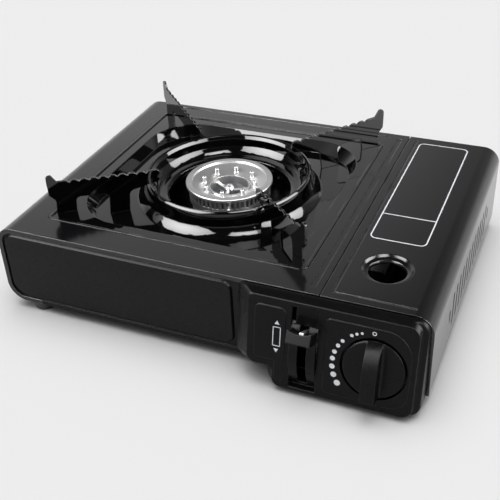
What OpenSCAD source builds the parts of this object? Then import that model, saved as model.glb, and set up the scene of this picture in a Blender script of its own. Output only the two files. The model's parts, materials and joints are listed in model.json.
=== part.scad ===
// Portable butane cassette stove: pressed steel body, enamelled drip tray with
// four pan supports, slotted burner, gas regulator and hinged cartridge lid.
// X runs to the right, Y to the back and Z up. The origin lies on the table,
// under the middle of the whole stove.

/* [Body] */
// Width of the steel body
body_w = 340; // [336:1:420]
// Depth of the steel body between its front and rear rims
body_d = 248; // [246:1:310]
// Height of the flat steel top above the table
body_h = 75; // [74:1:92]
// Height of the plastic feet
foot_h = 8; // [7:0.5:10]
// Radius of the two left feet
foot_r = 9; // [6:0.5:9.5]
// Thickness of the pressed steel sheet
sheet = 1; // [0.8:0.1:1.2]
// Radius of the upper left and upper right edges
edge_r = 14; // [10:1:16]
// Radius of the lower left edge
low_edge_r = 15; // [12:1:20]
// Width of the rims that frame the front and rear panels
rim_w = 3.5; // [2.5:0.5:4]
// Width of the cartridge bay, from the lid's seam to the right side
bay_w = 77.6; // [77:0.2:84]

/* [Drip tray] */
// Depth of the seat that the tray's flange lies in
seat_depth = 2; // [1.5:0.5:3]
// Depth of the tray's floor below the steel top
tray_depth = 10; // [8:1:12]
// Width of the flat flange round the tray's bowl
flange_w = 11; // [9:1:13]
// Outer radius of the raised wind collar
collar_r = 67.5; // [65:0.5:70]
// Height of the collar's lip above the steel top
collar_up = 8.6; // [6:0.2:9]

/* [Pan supports] */
// Thickness of a support plate
support_t = 1.8; // [1.4:0.1:2.4]
// Height of the pan rest above the steel top
rest_up = 27; // [24:0.5:30]
// Height of the outer horn above the pan rest
horn_up = 6; // [4:0.5:10]
// Pitch of the grip teeth
tooth_pitch = 7.5; // [6:0.5:9]

/* [Burner] */
// Outer radius of the burner head's rim
burner_r = 35.7; // [33:0.1:38]
// Number of flame slots round the head
flame_slots = 52; // [40:1:60]
// Number of small posts on the head's dished face
posts = 8; // [6:1:10]
// Outer radius of the mixing tube
tube_r = 7; // [6:0.5:8]

/* [Cartridge] */
// Radius of the gas cartridge that the bay takes
can_r = 34.5; // [33:0.1:34.5]
// Length of the cartridge with its valve collar
can_len = 194; // [180:1:195]
// Travel of the cartridge when it is locked
lock_travel = 9; // [7:0.5:10]

/* [Controls] */
// Backward lean of the control panel, in degrees
lean = 10.3; // [6:0.1:12]
// Width of the control box
box_w = 134.7; // [132:0.1:144]
// Wall thickness of the plastic mouldings
wall = 2; // [1.6:0.1:2.4]
// Radius of the knob's disc
knob_r = 21.5; // [19:0.5:22]
// Height of the knob's grip above the panel
grip_h = 12.8; // [9:0.2:14]
// Turn of the knob from off to the highest setting, in degrees
knob_turn = 140; // [120:5:150]
// Swing of the lever from unlocked to locked, in degrees
lever_swing = 45; // [38:1:48]

/* [Clearances] */
// Gap between parts that move past each other
gap = 0.3; // [0.3:0.1:0.5]
// Radial clearance of pins and shafts in their holes
fit = 0.05; // [0.03:0.01:0.08]

/* [Hidden] */
$fn = 64;
hull_fn = 32;
eps = 0.01;

// Body frame
knob_low = 32.1;
grip_round = 2;
face_drop = 2.6;
face_set = 9;
face_z = body_h - face_drop;
face_h = body_h - 6;
knob_v = knob_low - face_h;
grip_low = knob_v - knob_r + grip_round;
reach = face_set - grip_low * sin(lean) + grip_h * cos(lean);
overall_d = body_d + reach;
front_y = reach - overall_d / 2;
back_y = overall_d / 2;
mid_y = (front_y + back_y) / 2;
half_w = body_w / 2;
face_y = front_y - face_set;
panel_y = front_y + sheet + gap;
rear_panel_y = back_y - sheet - gap;
rear_screw_r = 1.05;
rear_screw_z = foot_h + rim_w + 2.5;
inner_y0 = panel_y + sheet + gap;
inner_y1 = rear_panel_y - sheet - gap;

// Seam between the fixed top and the lid
seam_gap = 0.8;
lid_x = half_w - bay_w;
seam_x = lid_x - seam_gap;

// Recess for the drip tray
recess_r = 6;
recess_x0 = 30.5 - half_w;
recess_x1 = seam_x - 17;
recess_y0 = front_y + 23;
recess_y1 = back_y - 20.5;
tray_gap = 0.5;
rear_screw_x = [recess_x0 + 2, (recess_x0 + recess_x1) / 2, recess_x1 - 2];
ledge_w = 7;
tray_x = (recess_x0 + recess_x1) / 2;
tray_y = (recess_y0 + recess_y1) / 2;
tray_w = recess_x1 - recess_x0 - 2 * tray_gap;
tray_d = recess_y1 - recess_y0 - 2 * tray_gap;
seat_z = body_h - seat_depth;
flange_z = seat_z + gap;
tray_floor_z = body_h - tray_depth;
bowl_w = tray_w - 2 * flange_w;
bowl_d = tray_d - 2 * flange_w;
bowl_r = 42;
bowl_slope = 5;
bead_w = 2;
collar_foot_r = collar_r + 9;
well_r = 50;
foot_in_left = 4;
foot_in_right = 5.5;
foot_in_front = 10.4;
foot_in_rear = 4;

// Burner
burner_x = tray_x + 3.5;
burner_y = tray_y + 0.7;
rim_z = body_h + 0.5;
burner_wall = 1.8;
head_r = burner_r - 2.2;
core_r = 15.7;
core_wall = 1.5;
head_low = body_h - 15;
base_low = body_h - 32;
rim_in_r = 31;
dish_z = rim_z - 7;
post_r = 1.7;
post_ring_r = 21.5;
post_turn = 8;
slot_w = 2.3;
slot_h = 7;
slot_top = rim_z - 3;
hub_r = 4;
screw_r = 2;
screw_top = rim_z - 7;
bracket_reach = 38;
bracket_w = 24;

// Base
pan_z = foot_h + sheet;
floor_z = pan_z + sheet;
trough_z = 2;
can_x = half_w - 41.5;
can_z = trough_z + sheet + 0.5 + can_r;
trough_half = sqrt(can_r * can_r - pow(can_z - floor_z, 2)) + 0.6;
trough_y0 = front_y + 44;
trough_y1 = back_y - 6;
pan_x1 = half_w - 6.8;
return_x = 40 - half_w;
seam_low_x = 30 - half_w;
foot_left_x = 25.4 - half_w;
foot_right_x = half_w - 12.7;
right_foot_r = 6.4;
foot_in_y = 9.8;
wall_x = seam_x - 3;

// Lid and its hinge
lid_low_z = 9.5;
hinge_x = half_w - 3 - sheet;
hinge_z = 11;
hinge_r = 1.25;
ear_r = 2.6;
ear_w = 3;
hinge_in_y = 55;
hinge_pin_len = 14;
hole_x = lid_x + 33.9;
hole_y = front_y + 45;
hole_rim_r = 18.2;
hole_r = 13;
vents = 14;
vent_pitch = 11.5;
vent_w = 3.6;
vent_low = 20;
vent_high = 49;
vent_y0 = mid_y - 67;

// Control box, in the panel's own frame: X right, Y up the panel from its top
// edge, Z out of the panel
box_x1 = half_w - 2;
box_x0 = box_x1 - box_w;
box_flare = 11;
face_x0 = box_x0 + box_flare;
face_x1 = box_x1 - 4.7;
box_back_y = front_y - 0.4;
step_v = 15 - face_h;
step_x = face_x0 + 19.5;
knob_x = half_w - 35;
control_bosses = [[face_x0 + 7.7, body_h - 17], [box_x1 - 12, body_h - 14], [box_x1 - 12, foot_h + 10]];
knob_gap = 1.6;
knob_sink = 4;
lever_x = half_w - 84;
channel_w = 19;
channel_top = -3.5;
channel_low = 2.8 - face_h;
pivot_v = 31 - face_h;
pivot_h = -42;
track_r = 46;
track_t = 2;
track_slot = 6.5;
slot_top_v = pivot_v + 21;
lever_low = 26.4;
lever_rest = lever_swing - lever_low;
lever_pin_r = 2.5;
arm_t = 3;
cap_w = channel_w - 1.9;
cap_h = 9.2;
cap_low = track_r + 0.6;
cap_high = 58;
arm_high = cap_low + 5;
arm_neck = 6;
slot_low_v = pivot_v - track_r * sin(lever_low) - arm_neck / 2 - 0.6;
crank_r = 12;
pivot_y = face_y + pivot_v * sin(lean) - pivot_h * cos(lean);
pivot_z = face_z + pivot_v * cos(lean) + pivot_h * sin(lean);

// Raised field of the front panel
emboss_x0 = rim_w + 2 - half_w;
emboss_x1 = box_x0 - 5.5;
emboss_z0 = foot_h + rim_w + 2.8;
emboss_z1 = body_h - rim_w - 1.5;
emboss_out = 1.8;

// Valve, cam and igniter
stem_r = 3;
stem_in = -37;
stem_top = -4.2;
cam_h = -26;
cam_t = 5;
cam_r = 8;
cam_rise = 3;
cam_y = face_y + knob_v * sin(lean) - cam_h * cos(lean);
cam_z = face_z + knob_v * cos(lean) + cam_h * sin(lean);
plunger_r = 2.5;
igniter_w = 12;
igniter_x0 = lever_x + 12.5;
igniter_x1 = knob_x - 17;

// Regulator
reg_y0 = front_y + 20;
reg_y1 = front_y + 34;
reg_x = can_x + 2;
reg_r = can_z - 19;
reg_screw_x = reg_r - 7;
reg_screw_z = reg_r - 9;
guide_y = reg_y1 + 1.5;
outlet_x = reg_x - 16;
outlet_y = reg_y0;
outlet_z = base_low + 8;
tube_turn = atan2(burner_y - outlet_y, burner_x - outlet_x);
tube_run = norm([burner_x - outlet_x, burner_y - outlet_y]);
jet_len = 9;
tube_start = 12;
tube_end = tube_run - 31;

// Cartridge holder
web_x = seam_x - 0.9;
web_t = 1.5;
web_z0 = 12;
web_z1 = 22;
lock_y = guide_y + 1.5 + can_len;
push_y = lock_y + lock_travel;
crank_x = web_x + web_t + 1.2;
crank_t = 2;

// Heat strip between burner and cartridge
heat_w = 24;
heat_y = burner_y + 14;

// Electrode
electrode_turn = 293;
electrode_out = burner_r + 6.3;
electrode_x = burner_x + electrode_out * cos(electrode_turn);
electrode_y = burner_y + electrode_out * sin(electrode_turn);
ceramic_r = 3;
ceramic_top = rim_z - 9;
lead_r = 1.2;
// Route of the ignition lead from the igniter to the electrode
lead_route = [
    [108, -98, 38], [107, -98, 48], [100, -98, 57], [90, -96, 60], [78, -92, 57],
    [60, -82, 46], [40, -70, 38], [15, -54, 34], [-2, -40, 33], [-11, -29, 35],
    [-14, -24, 39]
];

black_steel = "#202022";
black_enamel = "#111113";
black_plastic = "#1c1c1e";
bare_steel = "#b4b6b8";
aluminium = "#cfd0d1";
zinc = "#9a9ca0";
brass = "#b9994f";

// ---------------------------------------------------------------- helpers

// Rectangle between two corners with a radius at each corner, in the order
// lower left, lower right, upper right, upper left
module plate(x0, y0, x1, y1, r) {
    difference() {
        translate([x0, y0]) square([x1 - x0, y1 - y0]);
        corner(x0, y0, 1, 1, r[0]);
        corner(x1, y0, -1, 1, r[1]);
        corner(x1, y1, -1, -1, r[2]);
        corner(x0, y1, 1, -1, r[3]);
    }
}

// The waste outside a rounded corner, to be cut away
module corner(x, y, sx, sy, r) {
    if (r > 0)
        difference() {
            translate([x + min(0, sx * r) - (sx > 0 ? 1 : 0), y + min(0, sy * r) - (sy > 0 ? 1 : 0)])
                square(r + 1);
            translate([x + sx * r, y + sy * r]) circle(r);
            translate([x + (sx > 0 ? r : -r - 2), y - r - 2]) square([2, 2 * r + 4]);
            translate([x - r - 2, y + (sy > 0 ? r : -r - 2)]) square([2 * r + 4, 2]);
        }
}

// Centred rectangle with one radius
module round_rect(w, d, r) {
    plate(-w / 2, -d / 2, w / 2, d / 2, [r, r, r, r]);
}

// Stands a drawing of (x, z) upright and gives it thickness from y0 to y1
module along_y(y0, y1) {
    translate([0, y1, 0]) rotate([90, 0, 0]) linear_extrude(y1 - y0) children();
}

// Stands a drawing of (y, z) upright and gives it thickness from x0 to x1
module along_x(x0, x1) {
    translate([x0, 0, 0]) rotate([90, 0, 90]) linear_extrude(x1 - x0) children();
}

// Places children in the leaning panel's frame
module on_panel() {
    translate([0, face_y, face_z]) rotate([90 - lean, 0, 0]) children();
}

// Places children at the lever's pivot, with Z along the lever at rest
module on_lever() {
    on_panel() translate([lever_x, pivot_v, pivot_h]) rotate([-lever_rest, 0, 0]) children();
}

// Places children on the burner's axis
module on_burner() {
    translate([burner_x, burner_y, 0]) children();
}

// Places children at the gas outlet, with X along the mixing tube
module on_outlet() {
    translate([outlet_x, outlet_y, outlet_z]) rotate([0, 0, tube_turn]) children();
}

// Cylinder along X
module rod_x(x0, x1, r) {
    translate([x0, 0, 0]) rotate([0, 90, 0]) cylinder(h = x1 - x0, r = r);
}

// Cylinder along Y
module rod_y(y0, y1, r) {
    translate([0, y1, 0]) rotate([90, 0, 0]) cylinder(h = y1 - y0, r = r);
}

// Round-headed screw that points down, with its head's seat at z = 0
module screw(r, len) {
    head_h = 1.2 * r;
    difference() {
        union() {
            translate([0, 0, -len]) cylinder(h = len, r = r);
            cylinder(h = head_h, r1 = 2 * r, r2 = 1.4 * r);
        }
        for (turn = [0, 90])
            rotate([0, 0, turn]) translate([-1.2 * r, -0.2 * r, head_h * 0.5])
                cube([2.4 * r, 0.4 * r, head_h]);
    }
}

// ------------------------------------------------------------------- body

// Outline of the whole body in (x, z), shrunk by d
module body_outline(d) {
    plate(-half_w + d, foot_h + d, half_w - d, body_h - d,
          [low_edge_r - d, 0, edge_r - d, edge_r - d]);
}

module fixed_half(d) {
    intersection() {
        body_outline(d);
        translate([-half_w, 0]) square([half_w + seam_x, body_h]);
    }
}

// Rim that frames a panel, in (x, z)
module fixed_rim() {
    difference() {
        fixed_half(0);
        body_outline(rim_w);
        translate([seam_low_x, 0]) square([body_w, foot_h + rim_w + 1]);
        translate([seam_x - 1, 0]) square([body_w, body_h - rim_w]);
    }
}

module recess_hole(inset) {
    plate(recess_x0 + inset, recess_y0 + inset, recess_x1 - inset, recess_y1 - inset,
          [recess_r, recess_r, recess_r, recess_r]);
}

module body_shell() {
    rib_x = seam_x - 9;
    rib_w = 4;
    rib_drop = 0.6 * sheet;
    seam_flange = 8;
    color(black_steel)
    difference() {
        union() {
            difference() {
                along_y(front_y, back_y) difference() {
                    fixed_half(0);
                    body_outline(sheet);
                    translate([return_x, 0]) square([body_w, foot_h + 3]);
                }
                translate([0, 0, body_h - 2]) linear_extrude(3) recess_hole(0);
            }
            along_y(front_y, front_y + sheet) fixed_rim();
            along_y(back_y - sheet, back_y) fixed_rim();
            translate([seam_x - sheet, inner_y0, body_h - seam_flange])
                cube([sheet, inner_y1 - inner_y0, seam_flange - sheet + eps]);
            translate([0, 0, seat_z - sheet]) linear_extrude(seat_depth) difference() {
                recess_hole(-sheet);
                recess_hole(0);
            }
            translate([0, 0, seat_z - sheet]) linear_extrude(sheet) difference() {
                recess_hole(-eps);
                recess_hole(ledge_w);
            }
        }
        for (y = [front_y - 1, back_y - (inner_y0 - front_y)])
            translate([seam_low_x, y, foot_h - 1]) cube([body_w, inner_y0 - front_y + 1, sheet + 1 + gap]);
        translate([rib_x, front_y + 8, body_h - rib_drop]) cube([rib_w, body_d - 16, rib_drop + 1]);
        translate([recess_x0, back_y - 7, body_h - rib_drop]) cube([recess_x1 - recess_x0, 2, rib_drop + 1]);
    }
}

// Outline of a panel in (x, z), clear of the lid on the right
module panel_outline() {
    clear = sheet + gap;
    plate(-half_w + sheet, foot_h + sheet, half_w - clear, body_h - clear,
          [low_edge_r - sheet, 4, edge_r - clear, edge_r - clear]);
}

// Raised field of a panel in (x, z), shrunk by d
module emboss_outline(d) {
    plate(emboss_x0 + d, emboss_z0 + d, emboss_x1 - d, emboss_z1 - d,
          [low_edge_r - 2 - d, 8 - d, 8 - d, edge_r - 5 - d]);
}

// Front panel: flat steel plate with a raised field and holes for the controls
module front_panel() {
    bevel = 1.3;
    field_y = panel_y - emboss_out;
    color(black_steel)
    difference() {
        union() {
            along_y(panel_y, panel_y + sheet) panel_outline();
            along_y(front_y, panel_y) translate([seam_low_x + gap, foot_h])
                square([seam_x - seam_low_x - gap, rim_w]);
            hull() {
                along_y(field_y, field_y + eps) emboss_outline(bevel, $fn = hull_fn);
                along_y(panel_y, panel_y + eps) emboss_outline(0, $fn = hull_fn);
            }
        }
        along_y(field_y + sheet, panel_y + sheet + 1) emboss_outline(bevel + sheet);
        translate([knob_x, panel_y + 3, cam_z + 2]) rod_y(-6, 3, 13);
        translate([lever_x - 6, panel_y - 2, 14]) cube([12, 6, body_h - 22]);
        for (b = control_bosses)
            translate([b[0], 0, b[1]]) rod_y(panel_y - 1, panel_y + 3, 1.25);
    }
}

// Rear panel: flat steel plate with two rows of vent slots
module rear_panel() {
    rows = [foot_h + 14, foot_h + 36];
    slots = 16;
    color(black_steel)
    difference() {
        union() {
            along_y(rear_panel_y - sheet, rear_panel_y) panel_outline();
            along_y(rear_panel_y, back_y) translate([seam_low_x + gap, foot_h])
                square([seam_x - seam_low_x - gap, rim_w]);
        }
        for (z = rows, i = [0:slots - 1])
            translate([recess_x0 + 10 + i * 13, 0, z])
                along_y(rear_panel_y - 3, rear_panel_y + 1) plate(0, 0, 4, 14, [2, 2, 2, 2]);
        for (x = rear_screw_x)
            translate([x, 0, rear_screw_z]) rod_y(rear_panel_y - 3, rear_panel_y + 1, rear_screw_r);
    }
}

// Base pan: floor, four turned-up flanges and the trough under the cartridge
module base_pan() {
    flange = 6;
    x0 = seam_low_x - 9;
    y0 = panel_y + sheet;
    y1 = rear_panel_y - sheet;
    color(black_steel)
    difference() {
        union() {
            translate([x0, y0, pan_z]) cube([pan_x1 - x0, y1 - y0, sheet]);
            for (y = [y0, y1 - sheet])
                translate([x0, y, pan_z]) cube([pan_x1 - x0, sheet, flange]);
            translate([can_x - trough_half - sheet, trough_y0 - sheet, trough_z])
                cube([2 * (trough_half + sheet), trough_y1 - trough_y0 + 2 * sheet, floor_z - trough_z]);
        }
        translate([can_x - trough_half, trough_y0, trough_z + sheet])
            cube([2 * trough_half, trough_y1 - trough_y0, body_h]);
        for (x = rear_screw_x)
            translate([x, 0, rear_screw_z]) rod_y(y1 - 3, y1 + 1, rear_screw_r);
        for (i = [-3:3])
            translate([burner_x + i * 14, burner_y - 75, pan_z - 1])
                linear_extrude(sheet + 2) plate(-2.5, -14, 2.5, 14, [2.5, 2.5, 2.5, 2.5]);
        for (i = [-3:3])
            translate([burner_x + i * 14, burner_y + 75, pan_z - 1])
                linear_extrude(sheet + 2) plate(-2.5, -14, 2.5, 14, [2.5, 2.5, 2.5, 2.5]);
    }
}

// Wall between the burner chamber and the cartridge bay
module partition_wall() {
    y0 = panel_y + sheet;
    y1 = rear_panel_y - sheet;
    color(bare_steel)
    difference() {
        translate([wall_x, y0 + sheet + gap, floor_z])
            cube([sheet, y1 - y0 - 2 * sheet - 2 * gap, body_h - sheet - floor_z]);
        on_outlet() rod_x(0, tube_end, tube_r + 0.1);
        translate([0, pivot_y, pivot_z]) rod_x(wall_x - 1, wall_x + 3, lever_pin_r + fit);
        translate([wall_x - 1, lead_route[3][1], lead_route[3][2]]) rod_x(0, 4, 3);
        translate([wall_x - 1, heat_y - heat_w / 2 - gap, floor_z - 1])
            cube([4, heat_w + 2 * gap, 1 + sheet + gap]);
        for (i = [0:8])
            translate([wall_x - 1, burner_y - 40 + i * 12, body_h - 17]) rod_x(0, 4, 3);
    }
}

// Plastic foot with a domed stud above and a hollow below
module foot(x, y, r, top_z) {
    color(black_plastic)
    translate([x, y, 0])
    difference() {
        rotate_extrude() polygon([
            [0, 0], [r - 1.2, 0], [r - 0.3, 1.2], [r, top_z - 1.5],
            [r - 0.6, top_z], [0, top_z]
        ]);
        translate([0, 0, -1]) cylinder(h = top_z - 1, r = r - 4);
    }
}

module foot_front_left() { foot(foot_left_x, front_y + foot_in_y, foot_r, foot_h); }
module foot_rear_left() { foot(foot_left_x, back_y - foot_in_y, foot_r, foot_h); }
module foot_front_right() { foot(foot_right_x, front_y + foot_in_y, right_foot_r, pan_z); }
module foot_rear_right() { foot(foot_right_x, back_y - foot_in_y, right_foot_r, pan_z); }

// -------------------------------------------------------------- drip tray

// Section of the wind collar: the upper side from foot to well, then back below
function collar_top(z0) = let (f = tray_floor_z, t = z0, h = t - f) [
    [collar_foot_r, f], [collar_r + 7.5, f + 0.4], [collar_r + 2.9, f + 0.28 * h],
    [collar_r + 1.9, f + 0.4 * h], [collar_r + 1.2, f + 0.6 * h], [collar_r + 0.2, t - 2.4],
    [collar_r - 0.4, t - 0.9], [collar_r - 1.6, t], [collar_r - 3.2, t - 0.7],
    [collar_r - 4.8, t - 3.2], [collar_r - 4.8, f + 8.5], [59.2, f + 3.6],
    [57.5, f + 2.6], [52, f + 2.2], [well_r + 0.6, f + 1.4], [well_r, f], [well_r, f - 3]
];
function collar_low(z0) = let (f = tray_floor_z, t = z0, h = t - f) [
    [well_r + 1, f - 3], [well_r + 1, f], [52.4, f + 1.2], [58, f + 1.6], [60, f + 2.6],
    [collar_r - 3.8, f + 8], [collar_r - 3.8, t - 3.9], [collar_r - 2.4, t - 1.6],
    [collar_r - 1.6, t - 1.1], [collar_r - 1, t - 1.7], [collar_r - 0.8, t - 2.8],
    [collar_r + 0.2, f + 0.6 * h - 0.3], [collar_r + 0.9, f + 0.4 * h - 0.2],
    [collar_r + 2.2, f + 0.28 * h - 0.7], [collar_r + 6.8, f - 0.3], [collar_foot_r, f - 1]
];

// Square enamelled tray with a dished bowl and a raised collar round the burner
module drip_tray() {
    lip_z = body_h + collar_up;
    floor_w = bowl_w - 2 * bowl_slope;
    floor_d = bowl_d - 2 * bowl_slope;
    top_z = flange_z + sheet;
    color(black_enamel)
    union() {
        difference() {
            union() {
                translate([tray_x, tray_y, flange_z]) linear_extrude(sheet) difference() {
                    round_rect(tray_w, tray_d, recess_r - tray_gap);
                    round_rect(bowl_w, bowl_d, bowl_r);
                }
                translate([tray_x, tray_y, flange_z]) linear_extrude(seat_depth) difference() {
                    round_rect(tray_w, tray_d, recess_r - tray_gap);
                    round_rect(tray_w - 2 * bead_w, tray_d - 2 * bead_w, recess_r - tray_gap - bead_w);
                }
                hull() {
                    translate([tray_x, tray_y, top_z - eps]) linear_extrude(eps)
                        round_rect(bowl_w + 2 * sheet, bowl_d + 2 * sheet, bowl_r + sheet, $fn = hull_fn);
                    translate([tray_x, tray_y, tray_floor_z - sheet]) linear_extrude(eps)
                        round_rect(floor_w + 2 * sheet, floor_d + 2 * sheet, bowl_r, $fn = hull_fn);
                }
            }
            hull() {
                translate([tray_x, tray_y, top_z]) linear_extrude(eps)
                    round_rect(bowl_w, bowl_d, bowl_r, $fn = hull_fn);
                translate([tray_x, tray_y, tray_floor_z]) linear_extrude(eps)
                    round_rect(floor_w, floor_d, bowl_r - sheet, $fn = hull_fn);
            }
            on_burner() translate([0, 0, tray_floor_z - 3]) cylinder(h = 6, r = collar_foot_r);
        }
        on_burner() rotate_extrude() polygon(concat(collar_top(lip_z), collar_low(lip_z)));
    }
}

// Outer foot of each support, inside the tray's rim
function support_foot(sx, sy) = [
    sx > 0 ? recess_x1 - foot_in_right : recess_x0 + foot_in_left,
    sy > 0 ? recess_y1 - foot_in_rear : recess_y0 + foot_in_front
];

// Side view of a pan support: distance from the burner's axis against height.
// foot_out is the distance to its outer foot
module support_profile(foot_out, flange_top) {
    rest_z = body_h + rest_up;
    top_z = rest_z + horn_up;
    nose_r = 57;
    out_r = foot_out + 4;
    horn_r = out_r - 8;
    leg_w = 16;
    inner0 = 82.5;
    inner1 = 98.7;
    splay = 1.5;
    nose_drop = 6;
    tooth_d = 1.7;
    slope = nose_drop / (horn_r - nose_r);
    teeth = floor((horn_r - nose_r - 8) / tooth_pitch);
    function rest_at(r) = rest_z - slope * (horn_r - r);
    function under_at(r) = rest_at(r) - 15.3;
    difference() {
        polygon([
            [nose_r, rest_at(nose_r) - 1], [nose_r + 2, rest_at(nose_r) + 0.2],
            [horn_r, rest_z], [horn_r + 1.8, rest_z + horn_up * 0.45],
            [horn_r + 3, rest_z + horn_up * 0.82], [horn_r + 4, top_z - 0.25],
            [horn_r + 5.1, top_z], [out_r - 1.7, top_z - 0.2], [out_r - 0.7, top_z - 0.9],
            [out_r - 0.1, top_z - 2.2], [out_r, rest_z], [out_r - 0.3, rest_z - 10.5],
            [foot_out - 0.5, rest_z - 15.5], [foot_out - 0.7, rest_z - 18], [foot_out, flange_top],
            [foot_out - leg_w, flange_top], [foot_out - leg_w - 0.6, rest_z - 19],
            [foot_out - leg_w - 1.4, under_at(foot_out - leg_w) - 1],
            [foot_out - leg_w - 3.6, under_at(foot_out - leg_w)],
            [inner1 + 3.5, under_at(inner1)], [inner1 + 1, under_at(inner1) - 1.4],
            [inner1, under_at(inner1) - 3.6], [inner1 + splay, tray_floor_z],
            [inner0 + splay, tray_floor_z], [inner0, under_at(inner0) - 3],
            [inner0 - 1, under_at(inner0) - 1.2], [inner0 - 3.2, under_at(inner0)],
            [nose_r + 8, rest_z - 16.8], [nose_r + 1, rest_z - 15.5], [nose_r - 1, rest_z - 12]
        ]);
        for (i = [0:teeth - 1])
            let (r = horn_r - 9.5 - i * tooth_pitch)
            translate([r, rest_at(r)]) polygon([
                [-2.6, 1], [-2.6, 0], [-1.6, -0.4], [0, -tooth_d], [1.6, -0.4], [2.6, 0], [2.6, 1]
            ]);
    }
}

module pan_support(sx, sy) {
    run = support_foot(sx, sy) - [burner_x, burner_y];
    color(black_enamel)
    on_burner() rotate([0, 0, atan2(run[1], run[0])]) along_y(-support_t / 2, support_t / 2)
        support_profile(norm(run), flange_z + sheet);
}

module pan_support_front_left() { pan_support(-1, -1); }
module pan_support_front_right() { pan_support(1, -1); }
module pan_support_rear_left() { pan_support(-1, 1); }
module pan_support_rear_right() { pan_support(1, 1); }

// ----------------------------------------------------------------- burner

// Cast head: flat rim, dished face with posts, slotted skirt and central hub
module burner_head() {
    skirt_in = head_r - burner_wall;
    core_out = core_r + core_wall;
    color(aluminium)
    on_burner() {
        difference() {
            union() {
                rotate_extrude() polygon([
                    [burner_r, rim_z - 0.5], [burner_r - 0.5, rim_z],
                    [rim_in_r, rim_z], [rim_in_r - 0.6, rim_z - 1.6],
                    [core_out + 0.4, dish_z], [core_out, dish_z + 1],
                    [core_r, dish_z + 1], [core_r, head_low + 2],
                    [core_out, head_low + 2], [core_out, dish_z - 1.6], [skirt_in, rim_z - 4],
                    [skirt_in, head_low], [head_r, head_low], [head_r, rim_z - 2.4], [burner_r, rim_z - 2.4]
                ]);
                for (i = [0:2])
                    rotate([0, 0, 30 + i * 120]) translate([0, -1.5, head_low + 2])
                        cube([core_r + 0.5, 3, 3]);
                translate([0, 0, base_low]) cylinder(h = screw_top - 2 - base_low, r = hub_r);
            }
            for (i = [0:flame_slots - 1])
                rotate([0, 0, i * 360 / flame_slots]) translate([head_r - 3, -slot_w / 2, slot_top - slot_h])
                    cube([6, slot_w, slot_h]);
            translate([0, 0, base_low - 1]) cylinder(h = 60, r = screw_r);
        }
        for (i = [0:posts - 1])
            rotate([0, 0, post_turn + i * 360 / posts]) translate([post_ring_r, 0, dish_z]) post();
    }
}

// Small hollow post on the dished face
module post() {
    difference() {
        rotate_extrude() polygon([
            [0, 0], [post_r + 0.6, 0], [post_r + 0.5, 1.8], [post_r, 3],
            [post_r, 6.5], [post_r - 0.4, 7], [0, 7]
        ]);
        translate([0, 0, 4]) cylinder(h = 5, r = 0.8, $fn = 24);
    }
}

// Gas chamber under the head, with the mixing tube's socket and electrode tab
module burner_base() {
    out_r = head_r - burner_wall - fit;
    core_out = core_r + core_wall;
    tab_z = base_low + 8;
    color(zinc)
    on_burner() difference() {
        union() {
            rotate_extrude() polygon([
                [core_r, base_low], [out_r, base_low], [out_r, head_low + 3], [out_r - 1.5, head_low + 3],
                [out_r - 1.5, base_low + 1.5], [core_out, base_low + 1.5], [core_out, head_low + 2],
                [core_r, head_low + 2]
            ]);
            rotate([0, 0, tube_turn + 180]) translate([0, 0, outlet_z])
                rod_x(out_r - 1, out_r + 8, tube_r + 1.5);
            rotate([0, 0, electrode_turn]) translate([out_r - 0.7, -5, tab_z])
                cube([electrode_out - out_r + 5, 10, 2]);
        }
        rotate([0, 0, tube_turn + 180]) translate([0, 0, outlet_z])
            rod_x(core_out + 1, out_r + 9, tube_r + fit);
        rotate([0, 0, electrode_turn]) translate([electrode_out, 0, 0]) cylinder(h = body_h, r = ceramic_r);
    }
}

// Bridge of strip steel that carries the burner over the base pan
module burner_bracket() {
    strip = 1.5;
    top = base_low;
    foot_len = 12;
    color(bare_steel)
    on_burner() difference() {
        union() {
            translate([-bracket_w / 2, -bracket_reach, top - strip])
                cube([bracket_w, 2 * bracket_reach, strip]);
            for (s = [-1, 1]) {
                translate([-bracket_w / 2, s * (bracket_reach - strip / 2) - strip / 2, floor_z])
                    cube([bracket_w, strip, top - floor_z]);
                translate([-bracket_w / 2, s * (bracket_reach + foot_len / 2 - strip) - foot_len / 2, floor_z])
                    cube([bracket_w, foot_len, strip]);
            }
        }
        translate([0, 0, top - 5]) cylinder(h = 10, r = screw_r);
        for (s = [-1, 1])
            translate([0, s * (bracket_reach + foot_len / 2), floor_z - 1]) cylinder(h = 5, r = 1.6);
    }
}

module burner_screw() {
    color(bare_steel)
    on_burner() translate([0, 0, screw_top - 2]) screw(screw_r, screw_top - 2 - base_low + 6);
}

// Mixing tube from the jet to the burner, with a flared mouth and air holes
module mixing_tube() {
    color(bare_steel)
    on_outlet() difference() {
        union() {
            rod_x(tube_start, tube_end, tube_r);
            translate([tube_start, 0, 0]) rotate([0, 90, 0]) cylinder(h = 6, r1 = tube_r + 2, r2 = tube_r);
        }
        rod_x(tube_start - 1, tube_end + 1, tube_r - 1);
        translate([tube_start + 14, 0, 0]) rotate([90, 0, 0])
            cylinder(h = 3 * tube_r, r = 2.5, center = true);
    }
}

module gas_jet() {
    color(brass)
    on_outlet() difference() {
        union() {
            rod_x(3, 3 + jet_len, 3);
            rod_x(5, 7.5, 4.5);
        }
        rod_x(2, 4 + jet_len, 0.6);
    }
}

module electrode_ceramic() {
    color("#f2f0ea")
    translate([electrode_x, electrode_y, 0]) difference() {
        rotate_extrude() polygon([
            [0, base_low], [ceramic_r, base_low], [ceramic_r, ceramic_top - 3],
            [ceramic_r - 0.8, ceramic_top], [0, ceramic_top]
        ]);
        translate([0, 0, base_low - 1]) cylinder(h = body_h, r = 1 + fit);
    }
}

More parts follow.
